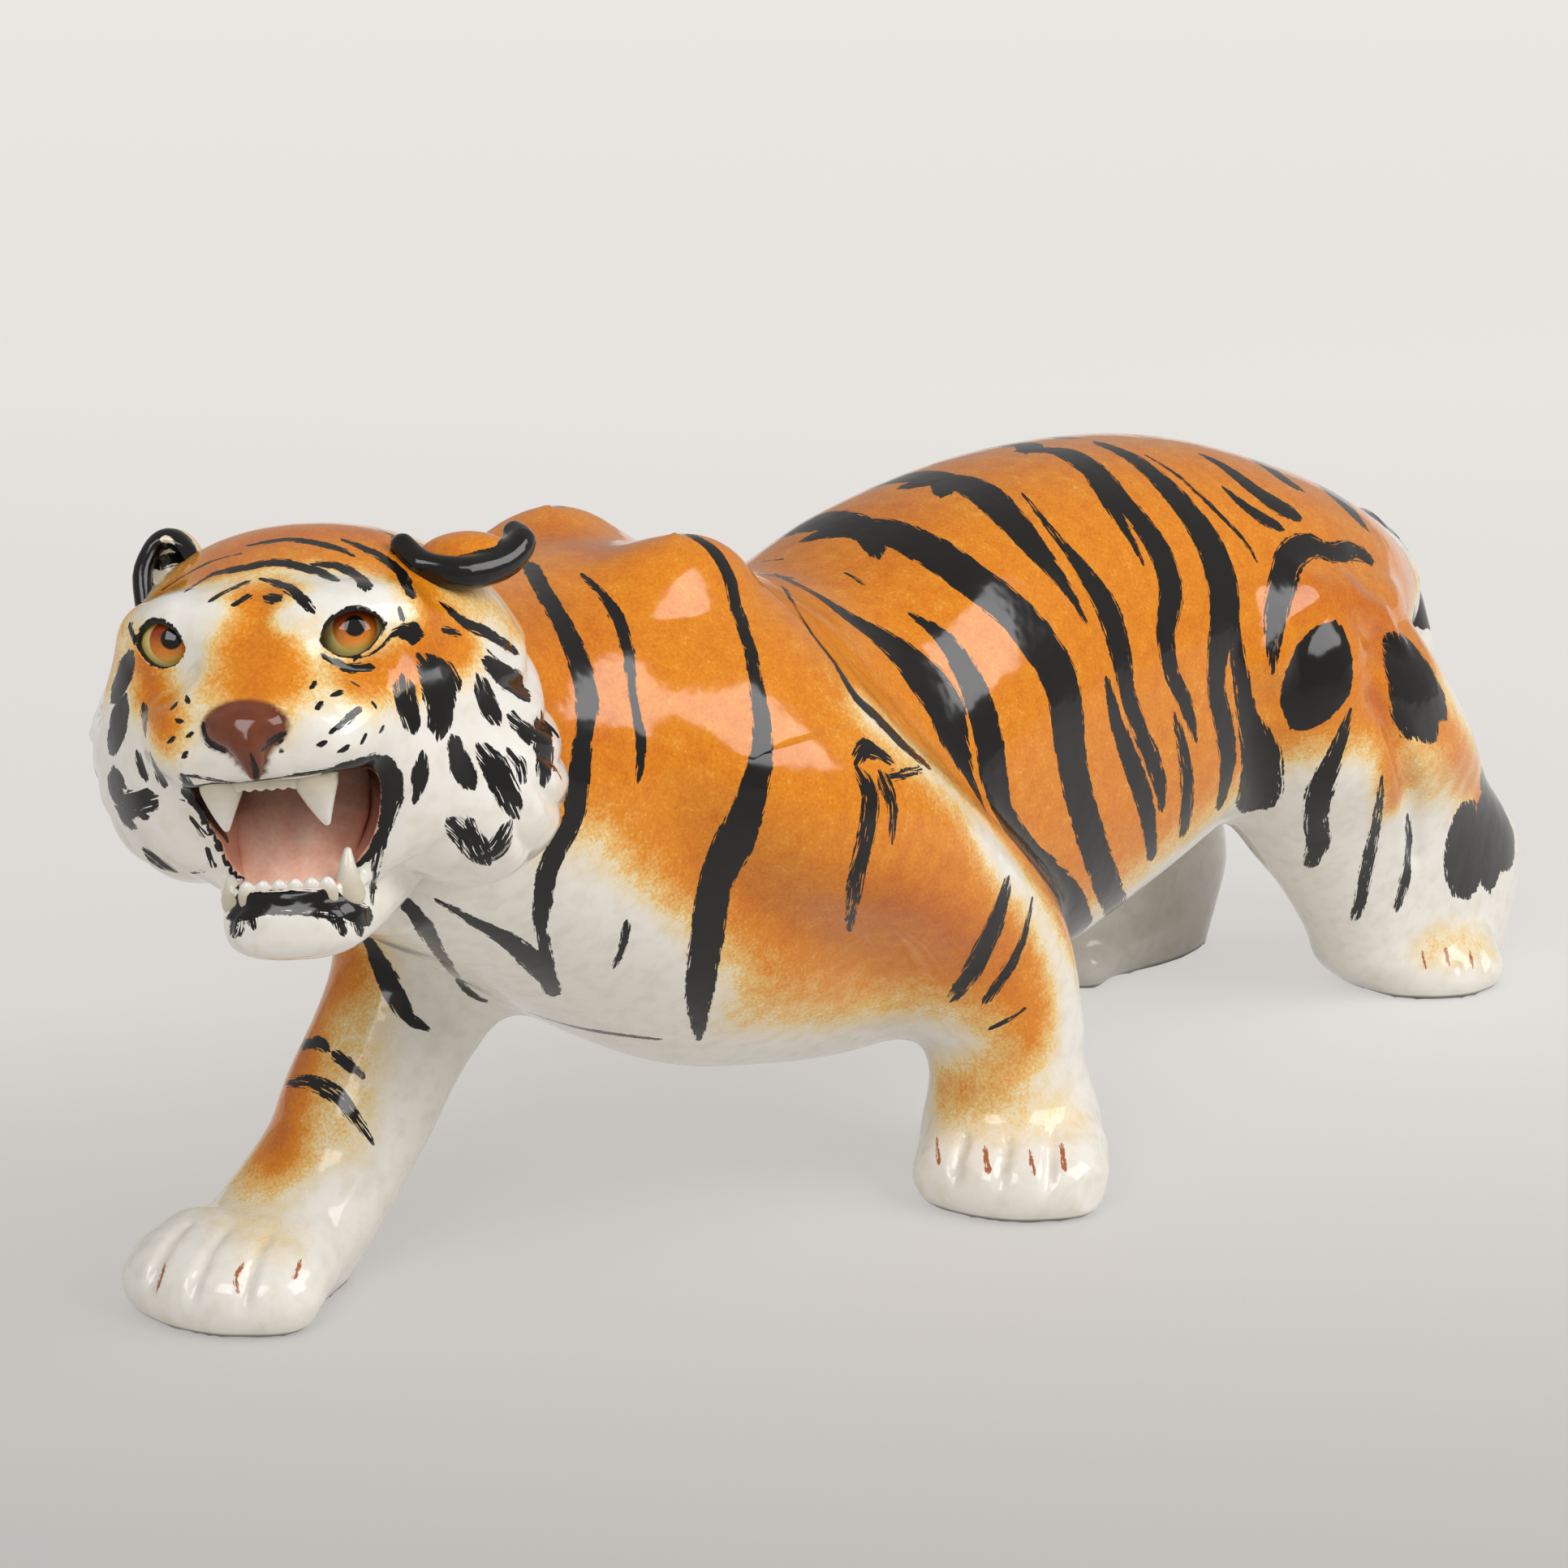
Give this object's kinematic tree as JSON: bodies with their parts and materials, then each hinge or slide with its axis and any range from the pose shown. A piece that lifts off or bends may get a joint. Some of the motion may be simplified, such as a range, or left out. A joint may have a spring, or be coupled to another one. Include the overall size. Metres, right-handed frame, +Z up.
{
  "type": "ceramic tiger figurine",
  "caption": "Prowling, snarling tiger figurine in glazed, hand-painted cast ceramic; ornament that stands on its paws.",
  "frame": {"origin": "middle of the overall length and width, on the floor under the paws", "axes": "+X from the head towards the tail, -Y towards the tiger's left flank, +Z up"},
  "size_m": [0.5503, 0.1718, 0.219],
  "materials": {
    "glaze_orange": "gloss",
    "glaze_white": "gloss",
    "glaze_pink": "gloss",
    "glaze_ivory": "gloss",
    "glaze_amber": "gloss"
  },
  "bodies": {
    "root": {"torso": "glaze_orange", "head": "glaze_orange", "lower_jaw": "glaze_white", "tongue": "glaze_pink", "ear_left": "glaze_orange", "ear_right": "glaze_orange", "front_leg_left": "glaze_white", "front_leg_right": "glaze_white", "hind_leg_left": "glaze_white", "hind_leg_right": "glaze_white", "tail": "glaze_white", "upper_canine_left": "glaze_ivory", "upper_canine_right": "glaze_ivory", "lower_canine_left": "glaze_ivory", "lower_canine_right": "glaze_ivory", "upper_incisors": "glaze_ivory", "lower_incisors": "glaze_ivory", "eye_left": "glaze_amber", "eye_right": "glaze_amber"}
  },
  "joints": []
}
